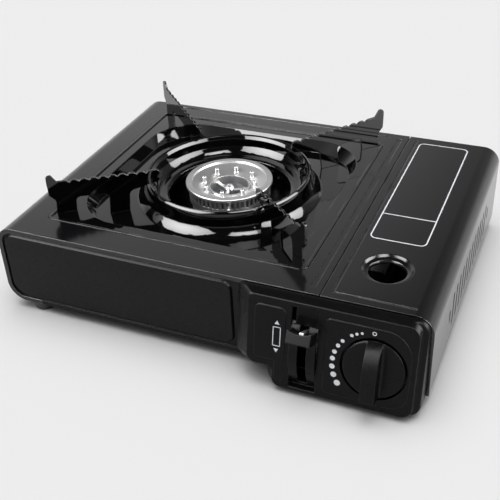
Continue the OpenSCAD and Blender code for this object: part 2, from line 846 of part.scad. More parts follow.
// Spark rod: a straight pin with its tip bent towards the flame slots
module electrode_rod() {
    tip = 5.5;
    bend_z = rim_z - 5;
    color(bare_steel)
    translate([electrode_x, electrode_y, 0]) rotate([0, 0, electrode_turn]) union() {
        translate([0, 0, base_low - 3]) cylinder(h = bend_z - base_low + 3, r = 1);
        translate([0, 0, bend_z]) sphere(1);
        translate([0, 0, bend_z]) rod_x(-tip, 0, 1);
    }
}

// Tube swept along a route, with one ring of points at each of its stations
function ring_axes(p, i) = let (
    a = p[max(i - 1, 0)],
    b = p[min(i + 1, len(p) - 1)],
    d = (b - a) / norm(b - a),
    s = cross(d, [0.3, 0.9, 0.1]),
    u = s / norm(s)
) [u, cross(d, u)];

function between(a, b, c, d, t) = 0.5 * (
    2 * b + (c - a) * t + (2 * a - 5 * b + 4 * c - d) * t * t + (3 * b - a - 3 * c + d) * t * t * t
);

function smooth_route(p, steps) = [
    for (i = [0:len(p) - 2], k = [0:steps - 1])
        between(p[max(i - 1, 0)], p[i], p[i + 1], p[min(i + 2, len(p) - 1)], k / steps),
    p[len(p) - 1]
];

module swept_tube(path, r, sides) {
    n = len(path);
    rings = [
        for (i = [0:n - 1]) let (f = ring_axes(path, i))
            for (k = [0:sides - 1])
                path[i] + r * cos(k * 360 / sides) * f[0] + r * sin(k * 360 / sides) * f[1]
    ];
    sides_faces = [
        for (i = [0:n - 2], k = [0:sides - 1]) let (m = (k + 1) % sides)
            [i * sides + k, i * sides + m, (i + 1) * sides + m, (i + 1) * sides + k]
    ];
    start = [[for (k = [0:sides - 1]) sides - 1 - k]];
    end = [[for (k = [0:sides - 1]) (n - 1) * sides + k]];
    polyhedron(rings, concat(sides_faces, start, end), convexity = 6);
}

module ignition_lead() {
    color("#8e1f1b") swept_tube(smooth_route(lead_route, 5), lead_r, 8);
}

// -------------------------------------------------------------- regulator

// Zinc casting: round housing, valve boss towards the knob, outlet and inlet
module regulator_body() {
    color(zinc)
    difference() {
        union() {
            translate([reg_x, 0, can_z - 2]) rod_y(reg_y0, reg_y1, reg_r);
            on_panel() translate([knob_x, knob_v, stem_in - 6]) cylinder(h = 12, r = 8);
            translate([reg_x, reg_y0, can_z - 12]) cube([22, reg_y1 - reg_y0, 24]);
            translate([reg_x + 21, (reg_y0 + reg_y1) / 2, can_z]) rod_x(0, 4, 13);
            translate([outlet_x, reg_y0 + 2, can_z]) cube([14, reg_y1 - reg_y0 - 4, outlet_z - can_z]);
            on_outlet() rod_x(-6, 3, 6);
        }
        on_panel() translate([knob_x, knob_v, stem_in - 0.5]) cylinder(h = 12, r = stem_r + fit);
        on_outlet() rod_x(-3, 4, 1.5);
        translate([reg_x - 2, 0, can_z]) rod_y(reg_y1 - 5, reg_y1 + 1, 2.2);
        translate([reg_x + 20, (reg_y0 + reg_y1) / 2, can_z]) rod_x(0, 6, 9);
        for (s = [-1, 1])
            translate([reg_x + s * reg_screw_x, 0, can_z - 2 + s * reg_screw_z])
                rod_y(reg_y1 - 6, reg_y1 + 1, 1.5);
    }
}

module regulator_diaphragm() {
    color("#3a2f2a")
    translate([reg_x + 25, (reg_y0 + reg_y1) / 2, can_z]) rod_x(0, 0.8, 13);
}

// Pressed cover over the diaphragm
module regulator_cover() {
    x0 = reg_x + 25.8;
    color(bare_steel)
    translate([x0, (reg_y0 + reg_y1) / 2, can_z]) rotate([0, 90, 0]) rotate_extrude() polygon([
        [13, 0], [13, 1], [10, 1], [9, 5], [0, 5], [0, 4], [8.2, 4], [9, 0]
    ]);
}

// Steel plate that holds the casting upright on the base pan
module regulator_bracket() {
    color(bare_steel)
    difference() {
        union() {
            along_y(reg_y1, guide_y) plate(reg_x - 15, floor_z, reg_x + 19, can_z + 18, [0, 0, 8, 8]);
            translate([reg_x - 15, reg_y1 - 8, floor_z]) cube([34, 8 + eps, 1.5]);
        }
        translate([reg_x - 2, 0, can_z]) rod_y(reg_y1 - 1, guide_y + 1, 3.5);
        for (s = [-1, 1])
            translate([reg_x + s * reg_screw_x, 0, can_z - 2 + s * reg_screw_z])
                rod_y(reg_y1 - 1, guide_y + 1, 1.5);
    }
}

module inlet_nipple() {
    color(brass)
    translate([reg_x - 2, 0, can_z]) difference() {
        union() {
            rod_y(reg_y1, guide_y + 4, 3.5);
            rod_y(reg_y1 - 5, reg_y1 + eps, 2.2);
        }
        rod_y(reg_y1 - 6, guide_y + 5, 1);
    }
}

module inlet_seal() {
    color("#2b2b2b")
    translate([reg_x - 2, guide_y + 2.6, can_z]) rotate([90, 0, 0]) rotate_extrude()
        translate([4.8, 0]) circle(1.2, $fn = 24);
}

// Locating plate for the cartridge's collar, with the key for its notch
module cartridge_guide() {
    color(bare_steel)
    translate([reg_x - 2, 0, can_z]) difference() {
        union() {
            rod_y(guide_y, guide_y + 1.2, 17);
            translate([-3, guide_y, 14]) cube([6, 6, 1.5]);
            for (s = [-1, 1])
                rotate([0, s * 100, 0]) translate([-5, guide_y, 16]) cube([10, 7, 1.2]);
        }
        rod_y(guide_y - 1, guide_y + 2, 6.6);
        for (s = [-1, 1])
            translate([2 + s * reg_screw_x, 0, -2 + s * reg_screw_z]) rod_y(guide_y - 1, guide_y + 2, 3.4);
    }
}

module regulator_screws() {
    color(bare_steel)
    for (s = [-1, 1])
        translate([reg_x + s * reg_screw_x, guide_y, can_z - 2 + s * reg_screw_z])
            rotate([-90, 0, 0]) screw(1.5, 6);
}

// --------------------------------------------------------------- controls

// Points of an arc about c from angle a0 to a1
function arc(c, r, a0, a1, n) = [
    for (i = [0:n]) let (a = a0 + (a1 - a0) * i / n) c + r * [cos(a), sin(a)]
];

// Outline of the control box in the panel's frame, with its lower left corner
// cut back by an S-curve, grown to the left, up, down and to the right
function box_outline(left, up, down, right) = let (
    x0 = face_x0 - left, xs = step_x - left * 0.6, x1 = face_x1 + right,
    y0 = -face_h - down, ys = step_v - down, y1 = up, n = 6
) concat(
    arc([xs + 6.4, y0 + 6.4], 6.4, 180, 270, n),
    arc([x1 - 8, y0 + 8], 8, 270, 360, n),
    arc([x1 - 9, y1 - 9], 9, 0, 90, n),
    arc([x0 + 3.5, y1 - 3.5], 3.5, 90, 180, n),
    arc([x0 + 6, ys + 6], 6, 180, 270, n),
    arc([xs - 4.6, ys - 4.6], 4.6, 90, 0, n)
);

// Ring of the box's surface at depth h behind the face. The walls run straight
// back, so each ring is raised to follow the panel's lean.
function box_ring(h, g) = [
    for (p = box_outline(g[0], g[1], g[2], g[3])) [p[0], p[1] - h * tan(lean), h]
];

// Middle of a ring's end face, from where its whole outline can be seen
function box_hub(h) = [step_x + 20, step_v + 20 - h * tan(lean), h];

// Solid through a list of [depth, growth] levels, from front to back
module box_loft(levels) {
    rings = [for (l = levels) box_ring(l[0], l[1])];
    n = len(rings[0]);
    m = len(rings);
    last = (m - 1) * n;
    points = concat([for (q = rings) each q], [box_hub(levels[0][0]), box_hub(levels[m - 1][0])]);
    front = [for (k = [0:n - 1]) [m * n, (k + 1) % n, k]];
    sides = [
        for (i = [0:m - 2], k = [0:n - 1]) let (j = (k + 1) % n)
            each [[i * n + k, (i + 1) * n + k, (i + 1) * n + j], [i * n + k, (i + 1) * n + j, i * n + j]]
    ];
    rear = [for (k = [0:n - 1]) [m * n + 1, last + k, last + (k + 1) % n]];
    polyhedron(points, concat(front, sides, rear), convexity = 8);
}

// Everything in front of the body's front plane
module before_body() {
    translate([-half_w, box_back_y - 100, -50]) cube([body_w, 100, body_h + 100]);
}

// Moulded box with the lever's channel and the knob's round recess
module control_box() {
    boss_r = 3.5;
    cup_r = knob_r + knob_gap;
    label_x0 = face_x0 + 5.8;
    label_x1 = lever_x - channel_w / 2 - 4;
    dial_x0 = lever_x + channel_w / 2 + 5.5;
    dial_x1 = face_x1 - 3.8;
    field_t = 0.5;
    color(black_plastic)
    union() {
        difference() {
            intersection() {
                union() {
                    on_panel() union() {
                        difference() {
                            box_outside();
                            box_inside();
                        }
                        translate([knob_x, knob_v, -knob_sink - wall])
                            cylinder(h = knob_sink + wall - eps, r = cup_r + wall);
                        translate([0, 0, -eps]) linear_extrude(field_t) {
                            plate(label_x0, step_v + 6, label_x1, -6.8, [3, 0, 4, 4]);
                            plate(label_x1 - 7, 6 - face_h, label_x1, -20, [2, 2, 0, 0]);
                            plate(dial_x0, 5.2 - face_h, dial_x1, -6.7, [3, 12, 18, 3]);
                        }
                    }
                    intersection() {
                        channel_block(wall, 60);
                        on_panel() translate([-half_w, -2 * body_h, -60])
                            cube([body_w, 3 * body_h, 60 - eps]);
                    }
                    intersection() {
                        channel_block(0, 60);
                        lever_track();
                    }
                }
                before_body();
            }
            on_panel() translate([knob_x, knob_v, -knob_sink]) cylinder(h = 20, r = cup_r);
            on_panel() translate([knob_x, knob_v, -20]) cylinder(h = 30, r = stem_r + 2);
            difference() {
                channel_block(0, 80);
                lever_track();
            }
        }
        difference() {
            intersection() {
                for (b = control_bosses)
                    translate([b[0], 0, b[1]]) rod_y(front_y - 20, panel_y, boss_r);
                on_panel() translate([-half_w, -body_h, -50]) cube([body_w, body_h + 10, 50 - wall + eps]);
            }
            for (b = control_bosses)
                translate([b[0], 0, b[1]]) rod_y(front_y - 5, panel_y + 1, 1.25);
        }
    }
}

module box_outside() {
    box_loft([
        [0, [-0.8, -0.8, -0.8, -0.8]], [-0.25, [-0.3, -0.3, -0.3, -0.3]],
        [-0.8, [0.2, 0, 0, 0]], [-4.2, [4.4, 0.8, 0.4, 0.4]],
        [-5, [5.4, 1, 0.8, 1.2]], [-5.6, [6.2, 1.1, 1.3, 3]],
        [-6.6, [7.5, 1.2, 1.8, 4]], [-9.6, [box_flare - 0.2, 1.3, 1.9, box_x1 - face_x1 - 0.2]],
        [-32, [box_flare, 1.4, 2, box_x1 - face_x1]]
    ]);
}

module box_inside() {
    box_loft([
        [-wall, [-wall, -wall, -wall, -wall]], [-6, [4.2, -wall, -wall, 0.4 - wall]],
        [-9.6, [box_flare - wall - 0.4, -wall, -wall, box_x1 - face_x1 - wall - 0.4]],
        [-33, [box_flare - wall, -wall, -wall, box_x1 - face_x1 - wall]]
    ]);
}

// The lever's channel as a solid, grown by g and reaching d in front of the body
module channel_block(g, d) {
    z0 = face_z + channel_low * cos(lean);
    z1 = face_z + channel_top * cos(lean);
    translate([lever_x - channel_w / 2 - g, front_y - d, z0 - g])
        cube([channel_w + 2 * g, d + box_back_y - front_y + (g > 0 ? 0 : 1), z1 - z0 + 2 * g]);
}

// Curved track at the back of the channel, slotted for the arm, and the plate
// above it, which leaves a narrow gap on its left
module lever_track() {
    top_v = slot_top_v - pivot_v;
    plate_set = 1.2;
    plate_gap = 2.8;
    on_panel() translate([lever_x, pivot_v, pivot_h]) difference() {
        rod_x(-channel_w, channel_w, track_r);
        rod_x(-channel_w - 1, channel_w + 1, track_r - track_t);
        translate([-channel_w - 1, -2 * track_r, -track_r]) cube([2 * channel_w + 2, 4 * track_r, track_r]);
        translate([-channel_w - 1, top_v + wall, 0]) cube([2 * channel_w + 2, 2 * track_r, 2 * track_r]);
        translate([-track_slot / 2, slot_low_v - pivot_v, 0])
            cube([track_slot, slot_top_v - slot_low_v, 2 * track_r]);
    }
    on_panel() translate([lever_x - channel_w / 2 + plate_gap, slot_top_v, -plate_set - wall])
        cube([channel_w, body_h, wall]);
}

// Gas knob: disc with a tapered grip that stands highest at its lower end
module knob() {
    disc_top = 1.2;
    disc_low = -knob_sink + 0.4;
    grip_w = 10.2;
    fillet = 1.2;
    hub_low = -11;
    color(black_plastic)
    on_panel() translate([knob_x, knob_v, 0]) difference() {
        union() {
            rotate_extrude() polygon([
                [0, disc_low], [knob_r, disc_low], [knob_r, disc_top - 1.2],
                [knob_r - 0.3, disc_top - 0.5], [knob_r - 1, disc_top - 0.1], [knob_r - 1.8, disc_top],
                [0, disc_top - 0.4]
            ]);
            translate([0, 0, hub_low]) cylinder(h = disc_low - hub_low + eps, r = stem_r + 1.4);
            intersection() {
                translate([-grip_w / 2, 0, 0]) rotate([90, 0, 90]) linear_extrude(grip_w) polygon([
                    [-knob_r, disc_low], [-knob_r, disc_top], [-knob_r + 0.5, disc_top + 0.5],
                    [-knob_r + 0.6, grip_h - 4.5], [-knob_r + 1, grip_h - 1.6],
                    [-knob_r + grip_round, grip_h], [-knob_r + 10, grip_h], [-4, grip_h - 0.2],
                    [4, grip_h - 1.2], [10, grip_h - 3], [15, grip_h - 5.6], [knob_r - 2.6, grip_h - 8.6],
                    [knob_r - 0.6, disc_top - 0.2], [knob_r - 0.6, disc_low]
                ]);
                translate([0, 0, disc_low]) cylinder(h = grip_h + 20, r = knob_r);
            }
            translate([0, knob_r - 2.6, disc_top - 0.6]) rotate([90, 0, 0])
                linear_extrude(2 * knob_r - 5.2) polygon([
                    [-grip_w / 2 - fillet - 0.6, 0], [-grip_w / 2, fillet + 0.6],
                    [grip_w / 2, fillet + 0.6], [grip_w / 2 + fillet + 0.6, 0]
                ]);
        }
        translate([0, 0, hub_low - 1]) cylinder(h = stem_top + 0.1 - hub_low + 1, r = stem_r);
    }
}

module valve_stem() {
    color(brass)
    on_panel() translate([knob_x, knob_v, stem_in]) cylinder(h = stem_top - stem_in, r = stem_r);
}

// Spiral cam on the valve stem: its radius grows evenly over the knob's turn
module igniter_cam() {
    spread = 10;
    step = 4;
    low = 180 - knob_turn - spread;
    function cam_at(a) = a < low ? cam_r : cam_r + cam_rise * min(1, (180 - a) / knob_turn);
    color("#d9d5c8")
    on_panel() translate([knob_x, knob_v, cam_h - cam_t / 2]) difference() {
        linear_extrude(cam_t) polygon([for (a = [-180 + step:step:180]) cam_at(a) * [cos(a), sin(a)]]);
        translate([0, 0, -1]) cylinder(h = cam_t + 2, r = stem_r);
    }
}

// Piezo igniter, held against the back of the front panel
module igniter_body() {
    color("#26272b")
    difference() {
        translate([igniter_x0, panel_y + sheet, cam_z - igniter_w / 2])
            cube([igniter_x1 - igniter_x0, cam_y - panel_y - sheet + igniter_w / 2, igniter_w]);
        translate([0, cam_y, cam_z]) rod_x(igniter_x0 + 8, igniter_x1 + 1, plunger_r + fit);
    }
}

module igniter_plunger() {
    tip_x = knob_x - cam_r - gap - plunger_r;
    color("#d9d5c8")
    translate([0, cam_y, cam_z]) union() {
        rod_x(igniter_x0 + 13, tip_x, plunger_r);
        translate([tip_x, 0, 0]) sphere(plunger_r);
    }
}

// Finger cap of the lever, with a hollowed upper side
module lever_cap() {
    hollow_r = 20;
    hollow_d = 2.9;
    root = cap_low - 1.5;
    color(black_plastic)
    on_lever() difference() {
        translate([-cap_w / 2, -cap_h / 2, root]) cube([cap_w, cap_h, cap_high - root]);
        rod_x(-cap_w, cap_w, cap_low);
        translate([0, cap_h / 2 + hollow_r - hollow_d, cap_high - 6]) sphere(hollow_r);
        translate([-arm_t / 2, -arm_neck / 2, root - 1])
            cube([arm_t, arm_neck, arm_high - root + 1]);
    }
}

// Steel arm with its crank above the pivot
module lever_arm() {
    color(bare_steel)
    difference() {
        union() {
            on_lever() translate([-arm_t / 2, 0, 0]) {
                rod_x(0, arm_t, 7);
                translate([0, -arm_neck / 2, 0]) cube([arm_t, arm_neck, arm_high]);
            }
        }
        translate([0, pivot_y, pivot_z]) rod_x(lever_x - 5, lever_x + 5, lever_pin_r);
    }
}

// Pivot shaft with the crank that drives the cartridge holder
module lever_pivot_pin() {
    crank_rest = lever_swing / 2;
    color(bare_steel)
    translate([0, pivot_y, pivot_z]) {
        rod_x(lever_x - 8.5, crank_x + crank_t, lever_pin_r);
        rotate([-crank_rest, 0, 0]) union() {
            along_x(crank_x, crank_x + crank_t) union() {
                circle(5);
                translate([-3.5, 0]) square([7, crank_r]);
                translate([0, crank_r]) circle(3.5);
            }
            translate([0, 0, crank_r]) rod_x(web_x - 0.6, crank_x + eps, 2);
        }
    }
}

module lever_bracket() {
    x0 = lever_x - 7;
    color(bare_steel)
    difference() {
        union() {
            along_x(x0, x0 + 1.5) plate(pivot_y - 9, floor_z, pivot_y + 9, pivot_z + 7, [0, 0, 7, 7]);
            translate([x0 - 10, pivot_y - 9, floor_z]) cube([11.5, 18, 1.5]);
        }
        translate([0, pivot_y, pivot_z]) rod_x(x0 - 1, x0 + 3, lever_pin_r + fit);
    }
}

// Sliding cartridge holder: side web, crank ear and the push plate at the rear
module holder_slide() {
    ear_half = 11;
    slot_half = 2 + gap + 0.1;
    shaft_half = lever_pin_r + gap;
    pin_rest_y = pivot_y + crank_r * sin(lever_swing / 2);
    ear_top = pivot_z + crank_r + 4;
    plate_t = 1.5;
    color(bare_steel)
    difference() {
        union() {
            along_x(web_x, web_x + web_t) {
                plate(pin_rest_y - ear_half, web_z0, pin_rest_y + ear_half, ear_top, [0, 0, 4, 4]);
                translate([pin_rest_y, web_z0]) square([push_y + plate_t - pin_rest_y, web_z1 - web_z0]);
                translate([push_y - 14, web_z0]) square([14 + plate_t, can_z + 12 - web_z0]);
            }
            along_y(push_y, push_y + plate_t)
                plate(web_x, trough_z + 12, can_x + 26, can_z + 22, [0, 12, 12, 12]);
        }
        along_x(web_x - 1, web_x + web_t + 1)
            plate(
                pin_rest_y - slot_half, pivot_z + 6, pin_rest_y + slot_half,
                pivot_z + crank_r + 2.4, [1, 1, 1, 1]
            );
        along_x(web_x - 1, web_x + web_t + 1) plate(
            pivot_y - shaft_half, pivot_z - shaft_half,
            pivot_y + 2 * crank_r * sin(lever_swing / 2) + shaft_half, pivot_z + shaft_half,
            [shaft_half, shaft_half, shaft_half, shaft_half]
        );
        along_y(push_y - 1, push_y + plate_t + 1) translate([can_x, can_z]) circle(9);
    }
}

// Two hooks on the partition that carry the slide
module slide_guides() {
    x0 = wall_x + sheet;
    hook = web_x + web_t + gap;
    color(bare_steel)
    for (y = [mid_y - 20, back_y - 55])
        translate([0, y, 0]) difference() {
            translate([x0, 0, web_z0 - gap - 1])
                cube([hook + 1 - x0, 12, web_z1 - web_z0 + 2 * gap + 2]);
            translate([web_x - gap, -1, web_z0 - gap])
                cube([web_t + 2 * gap, 14, web_z1 - web_z0 + 2 * gap]);
            translate([hook - 1, -1, web_z0 + 2]) cube([3, 14, web_z1 - web_z0 - 4]);
        }
}

// Aluminium strip that carries burner heat to the cartridge
module heat_plate() {
    color(aluminium)
    translate([burner_x + bracket_w / 2 + 6, heat_y - heat_w / 2, floor_z])
        cube([can_x - trough_half - 3 - burner_x - bracket_w / 2 - 6, heat_w, sheet]);
}

// -------------------------------------------------------------------- lid

module lid_half(d) {
    intersection() {
        plate(lid_x + d, lid_low_z - 5, half_w - d, body_h - d, [0, 0, edge_r - d, 0]);
        translate([0, lid_low_z]) square([body_w, body_h]);
    }
}

module lid_rim() {
    difference() {
        lid_half(0);
        plate(-half_w, -10, half_w - rim_w, body_h - rim_w, [0, 0, edge_r - rim_w, 0]);
    }
}

// Cartridge lid: top and right side in one sheet, finger hole and vent slots
module cartridge_lid() {
    flange = 7;
    line_in = 6;
    line_w = 1.6;
    line_d = 0.6;
    color(black_steel)
    difference() {
        union() {
            difference() {
                union() {
                    along_y(front_y, back_y) difference() {
                        lid_half(0);
                        plate(-half_w, -10, half_w - sheet, body_h - sheet, [0, 0, edge_r - sheet, 0]);
                    }
                    along_y(front_y, front_y + sheet) lid_rim();
                    along_y(back_y - sheet, back_y) lid_rim();
                    translate([lid_x, inner_y0, body_h - flange])
                        cube([sheet, inner_y1 - inner_y0, flange - sheet + eps]);
                    lid_ears();
                }
                translate([hole_x, hole_y, body_h - 5]) cylinder(h = 10, r = hole_rim_r);
            }
            translate([hole_x, hole_y, body_h]) rotate_extrude() polygon([
                [hole_rim_r + eps, 0], [hole_rim_r - 0.5, -0.3], [hole_rim_r - 1.6, -1.6],
                [hole_rim_r - 2.4, -2], [hole_rim_r - 3.4, -2.1], [hole_r + 0.8, -2.6],
                [hole_r, -4], [hole_r, -5], [hole_r + 1, -5], [hole_r + 1, -3.6],
                [hole_rim_r - 3.4, -3.1], [hole_rim_r - 2, -3], [hole_rim_r - 0.8, -2.2],
                [hole_rim_r + eps, -1]
            ]);
        }
        translate([lid_x + line_in, front_y + line_in, body_h - line_d]) {
            cube([line_w, body_d - 2 * line_in, 1]);
            cube([bay_w - edge_r - line_in, line_w, 1]);
        }
        for (i = [0:vents - 1])
            let (short = i == 0 || i == vents - 1)
            let (low = short ? vent_low + 10 : vent_low, high = short ? vent_high - 8 : vent_high)
            translate([0, vent_y0 + i * vent_pitch, 0]) along_x(half_w - 3, half_w + 1)
                plate(-vent_w / 2, low, vent_w / 2, high, [1.7, 1.7, 1.7, 1.7]);
    }
}

module at_hinges() {
    for (y = [front_y + hinge_in_y, back_y - hinge_in_y])
        translate([hinge_x, y, hinge_z]) children();
}

// Ears of the lid that turn on the hinge pins
module lid_ears() {
    difference() {
        at_hinges() union() {
            rod_y(-ear_w / 2, ear_w / 2, ear_r);
            translate([0, -ear_w / 2, -0.5]) cube([half_w - hinge_x - sheet / 2, ear_w, 8]);
        }
        at_hinges() rod_y(-ear_w, ear_w, hinge_r + fit);
    }
}

module hinge_pins() {
    color(bare_steel) at_hinges() rod_y(-hinge_pin_len / 2, hinge_pin_len / 2, hinge_r);
}

// Pairs of ears on the base pan that hold the hinge pins
module hinge_brackets() {
    thick = 1.5;
    inner = ear_w / 2 + gap;
    color(black_steel)
    at_hinges() difference() {
        union() {
            for (s = [0, 1]) mirror([0, s, 0]) {
                rod_y(inner, inner + thick, ear_r);
                translate([pan_x1 - 8 - hinge_x, inner, floor_z - hinge_z]) {
                    cube([hinge_x - pan_x1 + 8, thick, hinge_z + ear_r - floor_z]);
                    cube([7.5, 8, 1.2]);
                }
            }
        }
        rod_y(-10, 10, hinge_r);
    }
}

// -------------------------------------------------------------- fasteners

// Screws that hold the front and rear panels to the body
module body_screws() {
    color(bare_steel)
    for (x = rear_screw_x)
        translate([x, rear_panel_y, rear_screw_z]) rotate([-90, 0, 0]) screw(rear_screw_r, 4);
}

// Screws that hold the control box to the front panel, driven from behind
module control_screws() {
    color(bare_steel)
    for (b = control_bosses)
        translate([b[0], panel_y + sheet, b[1]]) rotate([-90, 0, 0]) screw(1.25, 5.5);
}

body_shell();
front_panel();
rear_panel();
base_pan();
partition_wall();
foot_front_left();
foot_front_right();
foot_rear_left();
foot_rear_right();
drip_tray();
pan_support_front_left();
pan_support_front_right();
pan_support_rear_left();
pan_support_rear_right();
burner_head();
burner_base();
burner_bracket();
burner_screw();
mixing_tube();
gas_jet();
electrode_ceramic();
electrode_rod();
ignition_lead();
regulator_body();
regulator_diaphragm();
regulator_cover();
regulator_bracket();
inlet_nipple();
inlet_seal();
cartridge_guide();
control_box();
knob();
valve_stem();
igniter_cam();
igniter_body();
igniter_plunger();
lever_cap();
lever_arm();
lever_pivot_pin();
lever_bracket();
holder_slide();
slide_guides();
heat_plate();
cartridge_lid();
hinge_pins();
hinge_brackets();
body_screws();
control_screws();
regulator_screws();
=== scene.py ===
"""Looks of a butane cassette stove: finishes, printed marks, floor, light and camera."""
import json
import math

import bpy
from mathutils import Matrix, Vector


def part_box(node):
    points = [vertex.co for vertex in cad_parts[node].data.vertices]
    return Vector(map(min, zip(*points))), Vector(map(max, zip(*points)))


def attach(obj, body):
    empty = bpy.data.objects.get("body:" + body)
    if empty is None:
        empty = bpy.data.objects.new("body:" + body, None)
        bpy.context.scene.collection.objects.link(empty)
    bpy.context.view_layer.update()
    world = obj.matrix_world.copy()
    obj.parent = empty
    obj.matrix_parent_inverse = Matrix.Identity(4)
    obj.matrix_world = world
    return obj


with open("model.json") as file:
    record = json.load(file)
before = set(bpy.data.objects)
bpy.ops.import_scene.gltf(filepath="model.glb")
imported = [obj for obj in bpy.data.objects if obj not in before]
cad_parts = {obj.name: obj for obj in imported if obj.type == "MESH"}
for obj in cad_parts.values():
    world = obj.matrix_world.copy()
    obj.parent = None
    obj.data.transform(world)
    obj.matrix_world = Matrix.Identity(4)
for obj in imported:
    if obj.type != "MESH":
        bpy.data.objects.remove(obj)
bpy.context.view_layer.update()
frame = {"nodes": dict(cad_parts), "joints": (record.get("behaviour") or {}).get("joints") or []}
scene = bpy.context.scene
joints = {joint["name"]: joint for joint in frame["joints"]}
MM = 0.001


# ------------------------------------------------------------------ node helpers
def plug(tree, socket, value):
    """Links the socket to another node's output, or sets it to a fixed value."""
    if isinstance(value, bpy.types.NodeSocket):
        tree.links.new(value, socket)
    else:
        socket.default_value = value


def add(tree, kind, **values):
    """A new node. Each value is one of its properties, or an input by name with _ for a space,
    or an input by number as i0, i1 and so on."""
    node = tree.nodes.new("ShaderNode" + kind)
    for key, value in values.items():
        if hasattr(node, key):
            setattr(node, key, value)
        elif key[1:].isdigit():
            plug(tree, node.inputs[int(key[1:])], value)
        else:
            plug(tree, node.inputs[key.replace("_", " ")], value)
    return node


def maths(tree, operation, a, b=0.0):
    return add(tree, "Math", operation=operation, i0=a, i1=b).outputs[0]


def total(tree, a, b):
    return maths(tree, "ADD", a, b)


def product(tree, a, b):
    return maths(tree, "MULTIPLY", a, b)


def spread(tree, value, low, high, to_low=0.0, to_high=1.0):
    """value mapped from low..high to to_low..to_high, held inside."""
    return add(tree, "MapRange", Value=value, From_Min=low, From_Max=high,
               To_Min=to_low, To_Max=to_high).outputs["Result"]


def mix_values(tree, share, a, b):
    """Number a turning into number b as share goes from 0 to 1."""
    return add(tree, "Mix", i0=share, i2=a, i3=b).outputs[0]


def rgba(colour):
    """Three numbers as an opaque colour; a socket stays as it is."""
    return colour if isinstance(colour, bpy.types.NodeSocket) else (*colour, 1.0)


def mix_colours(tree, share, a, b):
    """Colour a turning into colour b as share goes from 0 to 1."""
    return add(tree, "Mix", data_type="RGBA", i0=share, i6=rgba(a), i7=rgba(b)).outputs[2]


def noise(tree, coords, scale, detail, roughness=0.5):
    return add(tree, "TexNoise", Vector=coords, Scale=scale, Detail=detail,
               Roughness=roughness).outputs["Fac"]


def bump(tree, height, strength, depth, normal):
    return add(tree, "Bump", Strength=strength, Distance=depth, Height=height,
               Normal=normal).outputs["Normal"]


# ---------------------------------------------------------------------- finishes
# Scales are in cells per metre; depths and radii are in metres.
BROAD_SHARE = 0.7               # the broad patches' share in the colour's variation
FINE_PER_BROAD = 14             # fine cells across one broad cell
TONE_RANGE = (0.35, 0.65)       # noise levels of the darkest and the lightest tone
FINE_RANGE = (0.3, 0.7)         # noise levels of the smoothest and the roughest spot
LEAST_ROUGH = 0.02
BEVEL_SAMPLES = 6
EDGE_RANGE = (0.985, 0.86)      # cosine between face and rounded edge, from bare face to full wear and painted highlight
PATCH_SCALE = 140
PATCH_RANGE = (0.28, 0.58)      # noise levels where edges get none and all of their wear and painted highlight
WORN_GAIN = 2.2                 # how much brighter a worn edge is than its colour
WORN_LIFT = 0.01
COAT_ROUGH = 0.05
BRUSH_DEPTH = 0.00001
RING_DEPTH = 0.00002

burner_low, burner_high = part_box("burner_head")
burner_middle = (burner_low + burner_high) / 2
BURNER_AXIS = (burner_middle.x, burner_middle.y, 0)


def mottled(tree, coords, fine, colour, vary, scale):
    """The colour, darker and lighter by the share vary in broad and fine patches."""
    broad = noise(tree, coords, scale, detail=3)
    tone = total(tree, product(tree, broad, BROAD_SHARE), product(tree, fine, 1 - BROAD_SHARE))
    dark = tuple(part * (1 - vary) for part in colour)
    light = tuple(min(part * (1 + vary), 1) for part in colour)
    return mix_colours(tree, spread(tree, tone, *TONE_RANGE), dark, light)


def wear_and_highlight_share(tree, coords, rounded, wear_and_highlight):
    """How worn the finish is, and on the enamels how strong their painted edge highlight is: none on flat
    faces and up to the given share on edges, in patches.
    """
    flat = add(tree, "NewGeometry").outputs["Normal"]
    turned = add(tree, "VectorMath", operation="DOT_PRODUCT", i0=flat, i1=rounded).outputs["Value"]
    at_edge = spread(tree, turned, *EDGE_RANGE)
    patchy = spread(tree, noise(tree, coords, PATCH_SCALE, detail=3, roughness=0.7), *PATCH_RANGE)
    return product(tree, product(tree, at_edge, patchy), wear_and_highlight)


def brush_streaks(tree, coords, cells):
    """Noise with its own number of cells per metre along each axis."""
    drawn = add(tree, "Mapping", Vector=coords, Scale=cells).outputs["Vector"]
    return noise(tree, drawn, 1, detail=3, roughness=0.6)


def turning_marks(tree, coords, scale):
    """Rings of uneven height round the burner's axis."""
    place = add(tree, "VectorMath", operation="SUBTRACT", i0=coords, i1=BURNER_AXIS).outputs[0]
    parts = add(tree, "SeparateXYZ", Vector=place).outputs
    x_squared = maths(tree, "POWER", parts["X"], 2.0)
    y_squared = maths(tree, "POWER", parts["Y"], 2.0)
    radius = maths(tree, "SQRT", total(tree, x_squared, y_squared))
    rings = product(tree, radius, scale)
    return add(tree, "TexNoise", noise_dimensions="1D", W=rings, Scale=1.0, Detail=1.0).outputs["Fac"]


